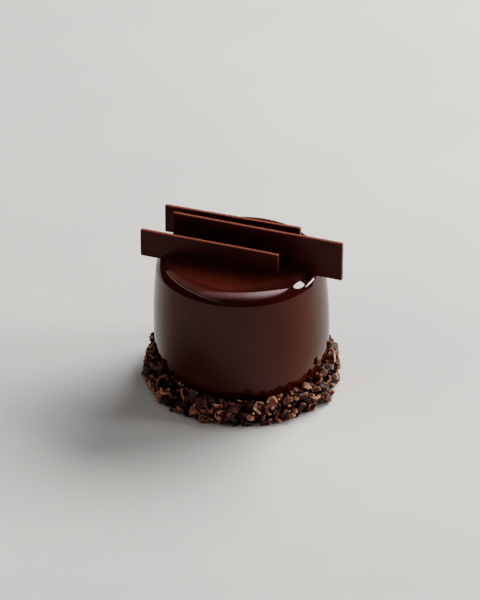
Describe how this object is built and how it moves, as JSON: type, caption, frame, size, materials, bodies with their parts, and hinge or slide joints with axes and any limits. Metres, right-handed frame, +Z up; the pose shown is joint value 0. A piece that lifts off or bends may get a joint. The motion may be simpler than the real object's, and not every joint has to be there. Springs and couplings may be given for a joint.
{
  "type": "chocolate cake",
  "caption": "Small round mirror-glazed chocolate mousse cake with upright chocolate plaques on top and a ring of cocoa nibs round its foot.",
  "frame": {"origin": "centre of the flat underside of the cake", "axes": "+Z up, -Y towards the side that faces the viewer, +X to the viewer's right"},
  "size_m": [0.0808, 0.081, 0.0705],
  "materials": {
    "glaze": "mirror-smooth dark chocolate glaze",
    "chocolate": "satin tempered dark chocolate with cut edges",
    "nibs": "rough broken roasted cocoa nibs"
  },
  "bodies": {
    "root": {"cake": "glaze", "plaque_front": "chocolate", "plaque_middle": "chocolate", "plaque_back": "chocolate", "nib_ring": "nibs"}
  },
  "joints": []
}
